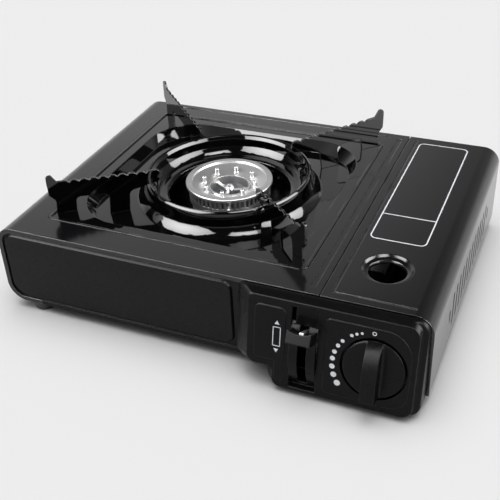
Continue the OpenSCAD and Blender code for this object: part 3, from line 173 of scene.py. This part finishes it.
def finish_of(name, colour, rough, metal=0.0, coat=0.0, ior=1.5, gloss=0.5,
              vary=0.1, vary_scale=18, rough_vary=0.05, grain=(900, 0.02, 0.00002), wave=None,
              brushed=None, ring=None, edge=0.00035, wear_and_highlight=0.25, worn_and_highlight=None, worn_rough=None):
    """A procedural finish with varied colour and roughness, fine relief and lighter edges, which are worn
    edges and, on the enamels, a painted highlight.

    grain and wave: scale, strength and depth of a relief.
    brushed: cells of the streaks along each axis, their share in the roughness, and the
    strength of their relief.
    ring: scale and strength of turning marks round the burner's axis.
    edge: radius that edges seem to have.
    The edge colour and worn_rough: colour and roughness of worn edges; on the enamels the edge colour is a
    painted highlight.
    """
    material = bpy.data.materials.new(name)
    material.use_nodes = True
    material.diffuse_color = (*colour, 1)
    tree = material.node_tree
    shader = tree.nodes["Principled BSDF"]
    coords = add(tree, "TexCoord").outputs["Object"]
    rounded = add(tree, "Bevel", samples=BEVEL_SAMPLES, Radius=edge).outputs["Normal"]

    fine = noise(tree, coords, vary_scale * FINE_PER_BROAD, detail=4, roughness=0.6)
    base = mottled(tree, coords, fine, colour, vary, vary_scale)
    share = wear_and_highlight_share(tree, coords, rounded, wear_and_highlight)
    # Lighter edge colour: real wear on most finishes, and on the enamels a painted highlight along the
    # edges.
    worn_and_highlight = worn_and_highlight or tuple(min(part * WORN_GAIN + WORN_LIFT, 1) for part in colour)
    base = mix_colours(tree, share, base, worn_and_highlight)

    smoothest = max(rough - rough_vary, LEAST_ROUGH)
    roughest = min(rough + rough_vary, 1)
    roughness = spread(tree, fine, *FINE_RANGE, smoothest, roughest)
    scale, strength, depth = grain
    relief = bump(tree, noise(tree, coords, scale, detail=2), strength, depth, rounded)
    if wave:
        scale, strength, depth = wave
        relief = bump(tree, noise(tree, coords, scale, detail=1), strength, depth, relief)
    if brushed:
        cells, rough_share, strength = brushed
        streaks = brush_streaks(tree, coords, cells)
        uneven = spread(tree, streaks, *FINE_RANGE, -rough_share, rough_share)
        roughness = total(tree, roughness, uneven)
        relief = bump(tree, streaks, strength, BRUSH_DEPTH, relief)
    if ring:
        scale, strength = ring
        relief = bump(tree, turning_marks(tree, coords, scale), strength, RING_DEPTH, relief)
    if worn_rough is not None:
        roughness = mix_values(tree, share, roughness, worn_rough)

    inputs = {
        "Base Color": base,
        "Metallic": metal,
        "Roughness": roughness,
        "IOR": ior,
        "Specular IOR Level": gloss,
        "Coat Weight": coat,
        "Coat Roughness": COAT_ROUGH,
        "Normal": relief,
    }
    if coat:
        inputs["Coat Normal"] = rounded
    for socket, value in inputs.items():
        plug(tree, shader.inputs[socket], value)
    return material


FINISH_SETTINGS = {
    # Sheet steel under glossy enamel, a satin paint and the tray's deeper enamel
    "black_enamelled_steel": dict(
        colour=(0.0042, 0.0042, 0.0048), rough=0.15, vary=0.15, rough_vary=0.02,
        grain=(700, 0.04, 0.00003), wave=(60, 0.05, 0.0002),
        # The lighter edge colour below is a painted highlight along the enamel's edges.
        edge=0.0009, wear_and_highlight=0.5, worn_and_highlight=(0.17, 0.17, 0.175),
    ),
    "black_painted_panel": dict(
        colour=(0.0045, 0.0045, 0.0052), rough=0.3, gloss=0.15, vary=0.12,
        grain=(900, 0.05, 0.00003), edge=0.0006, wear_and_highlight=0.15,
    ),
    "black_tray_enamel": dict(
        colour=(0.0022, 0.0022, 0.0024), rough=0.05, ior=1.52, vary=0.15, rough_vary=0.02,
        grain=(500, 0.02, 0.00002), wave=(45, 0.09, 0.0003),
        # The lighter edge colour below is a painted highlight along the tray enamel's edges.
        edge=0.0007, wear_and_highlight=0.5, worn_and_highlight=(0.17, 0.17, 0.175),
    ),
    # Bare metals
    "bare_steel": dict(
        colour=(0.55, 0.56, 0.57), rough=0.34, metal=1, vary=0.06,
        brushed=((40, 1500, 1500), 0.06, 0.05), wear_and_highlight=0.4, worn_and_highlight=(0.75, 0.76, 0.77),
    ),
    "cast_aluminium": dict(
        colour=(0.43, 0.43, 0.43), rough=0.4, metal=1, vary=0.07, vary_scale=60,
        grain=(1500, 0.25, 0.00005), ring=(2600, 0.25),
        edge=0.0003, wear_and_highlight=0.5, worn_and_highlight=(0.66, 0.66, 0.66), worn_rough=0.26,
    ),
    "zinc_casting": dict(
        colour=(0.4, 0.41, 0.42), rough=0.5, metal=1, vary=0.08,
        grain=(1300, 0.3, 0.00006), wear_and_highlight=0.4, worn_and_highlight=(0.6, 0.61, 0.62),
    ),
    "aluminium_sheet": dict(
        colour=(0.72, 0.72, 0.73), rough=0.32, metal=1, vary=0.05,
        brushed=((1200, 40, 1200), 0.06, 0.08), wear_and_highlight=0.3, worn_and_highlight=(0.85, 0.85, 0.86),
    ),
    "brass": dict(
        colour=(0.58, 0.43, 0.17), rough=0.28, metal=1, vary=0.08,
        wear_and_highlight=0.4, worn_and_highlight=(0.78, 0.63, 0.34),
    ),
    # Insulator, ignition lead and seals
    "white_ceramic": dict(
        colour=(0.82, 0.8, 0.75), rough=0.22, coat=0.5, vary=0.03,
        wear_and_highlight=0.2, worn_and_highlight=(0.66, 0.62, 0.55),
    ),
    "red_lead": dict(colour=(0.26, 0.017, 0.012), rough=0.38, vary=0.08, wear_and_highlight=0.1),
    "dark_rubber": dict(colour=(0.02, 0.02, 0.021), rough=0.62, vary=0.12, wear_and_highlight=0.3),
    # Moulded plastics
    "black_plastic": dict(
        colour=(0.0034, 0.0034, 0.004), rough=0.3, gloss=0.12, rough_vary=0.04,
        grain=(2600, 0.2, 0.00005), edge=0.001, wear_and_highlight=0.5, worn_and_highlight=(0.05, 0.05, 0.053),
    ),
    "black_foot_plastic": dict(
        colour=(0.008, 0.008, 0.0085), rough=0.5, grain=(1800, 0.2, 0.00005), wear_and_highlight=0.3,
    ),
    "pale_plastic": dict(
        colour=(0.6, 0.57, 0.5), rough=0.42, vary=0.04, wear_and_highlight=0.2, worn_and_highlight=(0.7, 0.68, 0.62),
    ),
    # White ink of the printed marks
    "white_print": dict(
        colour=(0.86, 0.88, 0.92), rough=0.45, vary=0.04, vary_scale=200,
        grain=(1500, 0.05, 0.00002), edge=0.00005, wear_and_highlight=0.0,
    ),
}
FINISHES = {name: finish_of(name, **settings) for name, settings in FINISH_SETTINGS.items()}

# --------------------------------------------------------------- smooth shading
JOIN_DISTANCE = 0.000002
SMOOTH_ANGLE = math.radians(32)
BIG_FACE_WEIGHT = 80


def smoothing_group():
    """Geometry nodes that join a mesh's doubled points and shade its shallow folds smooth."""
    group = bpy.data.node_groups.new("smooth_shading", "GeometryNodeTree")
    for way in ("INPUT", "OUTPUT"):
        group.interface.new_socket("Geometry", in_out=way, socket_type="NodeSocketGeometry")
    start = group.nodes.new("NodeGroupInput")
    end = group.nodes.new("NodeGroupOutput")
    join = group.nodes.new("GeometryNodeMergeByDistance")
    join.inputs["Distance"].default_value = JOIN_DISTANCE
    faces = group.nodes.new("GeometryNodeSetShadeSmooth")
    faces.domain = "FACE"
    edges = group.nodes.new("GeometryNodeSetShadeSmooth")
    edges.domain = "EDGE"
    fold = group.nodes.new("GeometryNodeInputMeshEdgeAngle")
    shallow = group.nodes.new("FunctionNodeCompare")
    shallow.data_type = "FLOAT"
    shallow.operation = "LESS_THAN"
    shallow.inputs[1].default_value = SMOOTH_ANGLE
    link = group.links.new
    link(start.outputs[0], join.inputs["Geometry"])
    link(join.outputs[0], faces.inputs["Geometry"])
    link(faces.outputs[0], edges.inputs["Geometry"])
    link(fold.outputs["Unsigned Angle"], shallow.inputs[0])
    link(shallow.outputs[0], edges.inputs["Shade Smooth"])
    link(edges.outputs[0], end.inputs[0])
    return group


def shade_smooth(node, group):
    """Drops the normals that came with the mesh and works out new ones."""
    custom = node.data.attributes.get("custom_normal")
    if custom:
        node.data.attributes.remove(custom)
    node.modifiers.new("smooth", "NODES").node_group = group
    weighted = node.modifiers.new("weighted", "WEIGHTED_NORMAL")
    weighted.keep_sharp = True
    weighted.weight = BIG_FACE_WEIGHT


smoothing = smoothing_group()
for node in frame["nodes"].values():
    shade_smooth(node, smoothing)
    for slot in node.material_slots:
        slot.material = FINISHES[slot.material.name.split(".")[0]]

# ----------------------------------------------------------------- printed marks
# In millimetres, as x and y on the face that carries the mark.
INK_BASE = 0.01
INK_TOP = 0.04
CORNER_STEPS = 8
CIRCLE_STEPS = 28

# Outline on the lid, by its distances from the lid's edges, with a line across it
LID_MARGIN_LEFT = 10.6
LID_MARGIN_RIGHT = 25
LID_MARGIN_FRONT = 79
LID_MARGIN_REAR = 10
LID_CORNER = 5
LID_LINE = 1
LID_DIVIDER = 35.5              # from the outline's front edge

# Raised field on the sloping front of the control box; y runs up it from its top edge
FIELD_RISE = 0.49               # how far the field stands out
KNOB_Y = -36.9
# Angles round the knob are in degrees from the x axis.
DOT_ANGLES = (111, 119, 127, 144, 154.5, 166, 177, 189.5, 202, 215)
DOT_RING = (26.6, 29)           # distance of the first and the last dot from the knob's axis
DOT_RADIUS = (0.95, 2.2)        # radius of the first and the last dot
ZERO_ANGLE = 93
ZERO_OUTER = 1.5                # radii of the ring at zero
ZERO_INNER = 0.9

# Outline beside the lever, with an arrow above and below it
LEVER_MARK_LEFT = 19.5          # its middle, left of the lever
LEVER_MARK_Y = -29
LEVER_MARK_WIDTH = 5.8
LEVER_MARK_HEIGHT = 15
LEVER_MARK_LINE = 0.6
ARROW_WIDTH = 3.6
ARROW_BASE = 9.4                # from the outline's middle
ARROW_TIP = 12.4


def printed(name, loops, matrix, body):
    """Thin ink shapes on the matrix's XY plane; each loop is a closed line of points."""
    points = []
    faces = []
    for loop in loops:
        first = len(points)
        count = len(loop)
        points += [(x * MM, y * MM, INK_TOP * MM) for x, y in loop]
        points += [(x * MM, y * MM, INK_BASE * MM) for x, y in loop]
        faces.append(tuple(range(first, first + count)))
        faces.append(tuple(range(first + 2 * count - 1, first + count - 1, -1)))
        for k in range(count):
            following = (k + 1) % count
            faces.append((first + k, first + count + k, first + count + following, first + following))
    mesh = bpy.data.meshes.new(name)
    mesh.from_pydata(points, [], faces)
    mesh.validate()
    mesh.materials.append(FINISHES["white_print"])
    mark = bpy.data.objects.new(name, mesh)
    scene.collection.objects.link(mark)
    mark.matrix_world = matrix
    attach(mark, body)


def on_circle(x, y, radius, degrees):
    """The point of a circle about (x, y) at an angle from the x axis."""
    angle = math.radians(degrees)
    return x + radius * math.cos(angle), y + radius * math.sin(angle)


def disc(x, y, radius):
    return [on_circle(x, y, radius, 360 * k / CIRCLE_STEPS) for k in range(CIRCLE_STEPS)]


def round_loop(x0, y0, x1, y1, radius):
    """A rectangle from corner (x0, y0) to corner (x1, y1), with rounded corners."""
    left = x0 + radius
    right = x1 - radius
    bottom = y0 + radius
    top = y1 - radius
    corners = ((right, bottom, -90), (right, top, 0), (left, top, 90), (left, bottom, 180))
    steps = range(CORNER_STEPS + 1)
    return [on_circle(x, y, radius, start + 90 * k / CORNER_STEPS) for x, y, start in corners for k in steps]


def band(outer, inner):
    """Quads between two loops of equal length."""
    ahead = outer[1:] + outer[:1]
    inner_ahead = inner[1:] + inner[:1]
    return [list(quad) for quad in zip(outer, ahead, inner_ahead, inner)]


def outline(x0, y0, x1, y1, radius, line):
    """A rounded rectangle drawn with a line of that width, inside its two corners."""
    outer = round_loop(x0, y0, x1, y1, radius)
    inner = round_loop(x0 + line, y0 + line, x1 - line, y1 - line, radius - line)
    return band(outer, inner)


def between(ends, share):
    return ends[0] + (ends[1] - ends[0]) * share


def lid_marks():
    """Plain outline on the lid, with one line across."""
    low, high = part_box("cartridge_lid")
    middle = (low.y + high.y) / 2
    left = low.x / MM + LID_MARGIN_LEFT
    right = high.x / MM - LID_MARGIN_RIGHT
    front = (low.y - middle) / MM + LID_MARGIN_FRONT
    rear = (high.y - middle) / MM - LID_MARGIN_REAR
    divider = front + LID_DIVIDER
    loops = outline(left, front, right, rear, LID_CORNER, LID_LINE)
    loops.append([
        (left + LID_LINE, divider),
        (right - LID_LINE, divider),
        (right - LID_LINE, divider + LID_LINE),
        (left + LID_LINE, divider + LID_LINE),
    ])
    printed("lid_outline", loops, Matrix.Translation((0, middle, high.z)), "lid")


def control_field():
    """Matrix of the raised field: the knob's axis is square to it and meets it at KNOB_Y."""
    axis = Vector(joints["knob_turn"]["axis"])
    centre = Vector(joints["knob_turn"]["pos_m"])
    lean = math.atan2(axis.z, -axis.y)
    upright = Matrix.Rotation(math.pi / 2 - lean, 4, "X")
    to_top_edge = Matrix.Translation(Vector((0, -KNOB_Y, FIELD_RISE)) * MM)
    return Matrix.Translation((0, centre.y, centre.z)) @ upright @ to_top_edge


def knob_marks(field):
    """Dots that grow round the knob from low to high, and a ring at zero."""
    knob_x = joints["knob_turn"]["pos_m"][0] / MM
    dots = []
    for index, angle in enumerate(DOT_ANGLES):
        share = index / (len(DOT_ANGLES) - 1)
        x, y = on_circle(knob_x, KNOB_Y, between(DOT_RING, share), angle)
        dots.append(disc(x, y, between(DOT_RADIUS, share)))
    printed("knob_scale", dots, field, "frame")
    x, y = on_circle(knob_x, KNOB_Y, DOT_RING[0], ZERO_ANGLE)
    printed("knob_zero", band(disc(x, y, ZERO_OUTER), disc(x, y, ZERO_INNER)), field, "frame")


def lever_marks(field):
    """Plain outline beside the lever's track, with an arrow for each way."""
    x = joints["lever_swing"]["pos_m"][0] / MM - LEVER_MARK_LEFT
    y = LEVER_MARK_Y
    reach = LEVER_MARK_WIDTH / 2
    rise = LEVER_MARK_HEIGHT / 2
    loops = outline(x - reach, y - rise, x + reach, y + rise, LEVER_MARK_LINE, LEVER_MARK_LINE)
    for way in (1, -1):
        base = y + way * ARROW_BASE
        side = way * ARROW_WIDTH / 2
        loops.append([(x - side, base), (x + side, base), (x, y + way * ARROW_TIP)])
    printed("lever_marks", loops, field, "frame")


lid_marks()
field = control_field()
knob_marks(field)
lever_marks(field)

# ------------------------------------------------------------------------ camera
VIEW_TURN = 24.21               # degrees round from straight in front, to the right
VIEW_RISE = 33.66               # degrees above the floor
VIEW_ROLL = -2.73               # degrees about the line of sight
CAMERA_PLACE = (0.2386, -0.542461, 0.41739)
LENS = 61.89                    # millimetres, as is the sensor
SENSOR_WIDTH = 36
NEAR_CLIP = 0.01
FAR_CLIP = 50

turned = Matrix.Rotation(math.radians(VIEW_TURN), 4, "Z")
tipped = Matrix.Rotation(math.radians(90 - VIEW_RISE), 4, "X")
rolled = Matrix.Rotation(math.radians(VIEW_ROLL), 4, "Z")
camera = bpy.data.objects.new("camera", bpy.data.cameras.new("camera"))
scene.collection.objects.link(camera)
camera.matrix_world = Matrix.Translation(CAMERA_PLACE) @ turned @ tipped @ rolled
camera.data.lens = LENS
camera.data.sensor_width = SENSOR_WIDTH
camera.data.clip_start = NEAR_CLIP
camera.data.clip_end = FAR_CLIP
scene.camera = camera
scene.view_settings.view_transform = "Standard"

# --------------------------------------------------------------- floor and cards
# Places and sizes in metres
WHITE = (1, 1, 1, 1)
FLOOR_COLOUR = (0.8, 0.8, 0.8, 1)
FLOOR_SIDE = 12
CARD_AIM = Vector((0, 0.015, 0.06))
CARD_DISTANCE = 2
CARD_BRIGHT_PART = 0.2          # distance from the middle, as a share of half its size
CARD_DIM_PART = 1.5
CARD_DIM_SHARE = 0.45


def toward(turn, rise):
    """Unit vector turn degrees round from straight in front and rise degrees up."""
    turn = math.radians(turn)
    rise = math.radians(rise)
    return Vector((math.sin(turn) * math.cos(rise), -math.cos(turn) * math.cos(rise), math.sin(rise)))


def one_shader(name, kind, **values):
    """A material made of one shader node, and that node."""
    material = bpy.data.materials.new(name)
    material.use_nodes = True
    tree = material.node_tree
    tree.nodes.clear()
    shader = add(tree, kind, **values)
    add(tree, "OutputMaterial", Surface=shader.outputs[0])
    return material, shader


def sheet(name, width, depth, matrix, material):
    """A flat rectangle of the stage."""
    x = width / 2
    y = depth / 2
    mesh = bpy.data.meshes.new(name)
    mesh.from_pydata([(-x, -y, 0), (x, -y, 0), (x, y, 0), (-x, y, 0)], [], [(0, 1, 2, 3)])
    mesh.materials.append(material)
    flat = bpy.data.objects.new(name, mesh)
    scene.collection.objects.link(flat)
    flat.matrix_world = matrix
    return flat


def softbox(name, turn, rise, width, height, strength):
    """A card that only shows in reflections, turned from the camera's side and brightest in its middle."""
    centre = CARD_AIM + CARD_DISTANCE * toward(VIEW_TURN + turn, rise)
    facing = (CARD_AIM - centre).to_track_quat("Z", "Y").to_matrix().to_4x4()
    material, lamp = one_shader(name, "Emission", Color=WHITE)
    tree = material.node_tree
    coords = add(tree, "TexCoord").outputs["Object"]
    place = add(tree, "Mapping", Vector=coords, Scale=(2 / width, 2 / height, 1)).outputs["Vector"]
    off = add(tree, "VectorMath", operation="LENGTH", i0=place).outputs["Value"]
    glow = spread(tree, off, CARD_BRIGHT_PART, CARD_DIM_PART, strength, strength * CARD_DIM_SHARE)
    plug(tree, lamp.inputs["Strength"], glow)
    card = sheet(name, width, height, Matrix.Translation(centre) @ facing, material)
    card.visible_camera = False
    card.visible_diffuse = False
    card.visible_shadow = False
    card.visible_transmission = False


floor_material, _ = one_shader("floor", "BsdfDiffuse", Color=FLOOR_COLOUR)
sheet("floor", FLOOR_SIDE, FLOOR_SIDE, Matrix.Identity(4), floor_material)
softbox("softbox_left", turn=-66, rise=34, width=2.1, height=1.7, strength=17)
softbox("softbox_right", turn=69, rise=27, width=2.4, height=1.3, strength=15)
softbox("softbox_front", turn=22, rise=57, width=1.05, height=0.5, strength=15)

# ------------------------------------------------------------------------- world
# Levels of white by direction: x to the right, y to the back, height upwards, each 1 at most.
BACKDROP = 0.855                # level that the camera sees
WALL_DEPTH = (0.0, 0.3)         # y from where the wall behind starts to where it is full
WALL_SIDE = (-0.12, -0.34)      # x over y from the wall's dim part to its bright left part
WALL_SIDE_LEVEL = (0.3, 1.0)
WALL_FALL = (0.4, 0.62)         # heights between which the wall gets dimmer
WALL_FALL_LEVEL = (0.95, 0.5)
WALL_END = (0.58, 0.72)         # heights between which the wall fades out
WALL_END_LEVEL = (1.0, 0.0)
HORIZON = (0.05, 0.4)           # heights between which the bright horizon fades out
HORIZON_LEVEL = (0.85, 0.0)
SHINE_LEAST = 0.04
OVERHEAD_POWER = 9
OVERHEAD_LEVEL = 4.87
BACK_LEVEL = 0.04               # gain in the light from the back
SOFT_LEAST = 0.18


def studio_shine(tree, direction):
    """What shiny faces reflect: a wall behind, brighter on its left, and a bright horizon."""
    height = direction["Z"]
    sideways = maths(tree, "DIVIDE", direction["X"], direction["Y"])
    wall = spread(tree, sideways, *WALL_SIDE, *WALL_SIDE_LEVEL)
    wall = product(tree, wall, spread(tree, direction["Y"], *WALL_DEPTH))
    wall = product(tree, wall, spread(tree, height, *WALL_FALL, *WALL_FALL_LEVEL))
    wall = product(tree, wall, spread(tree, height, *WALL_END, *WALL_END_LEVEL))
    horizon = spread(tree, height, *HORIZON, *HORIZON_LEVEL)
    return total(tree, maths(tree, "MAXIMUM", wall, horizon), SHINE_LEAST)


def studio_light(tree, direction):
    """What lights matt faces: mostly from straight above, with a little more from the back."""
    overhead = product(tree, maths(tree, "POWER", direction["Z"], OVERHEAD_POWER), OVERHEAD_LEVEL)
    from_back = product(tree, direction["Y"], BACK_LEVEL)
    return total(tree, total(tree, overhead, from_back), SOFT_LEAST)


def studio_world():
    """A world with its own level for the camera, for reflections and for soft light."""
    world = bpy.data.worlds.new("studio")
    world.use_nodes = True
    tree = world.node_tree
    tree.nodes.clear()
    direction = add(tree, "SeparateXYZ", Vector=add(tree, "TexCoord").outputs["Generated"]).outputs
    rays = add(tree, "LightPath").outputs
    shine = studio_shine(tree, direction)
    level = mix_values(tree, rays["Is Glossy Ray"], studio_light(tree, direction), shine)
    level = mix_values(tree, rays["Is Camera Ray"], level, BACKDROP)
    background = add(tree, "Background", Color=WHITE, Strength=level)
    add(tree, "OutputWorld", Surface=background.outputs[0])
    return world


scene.world = studio_world()
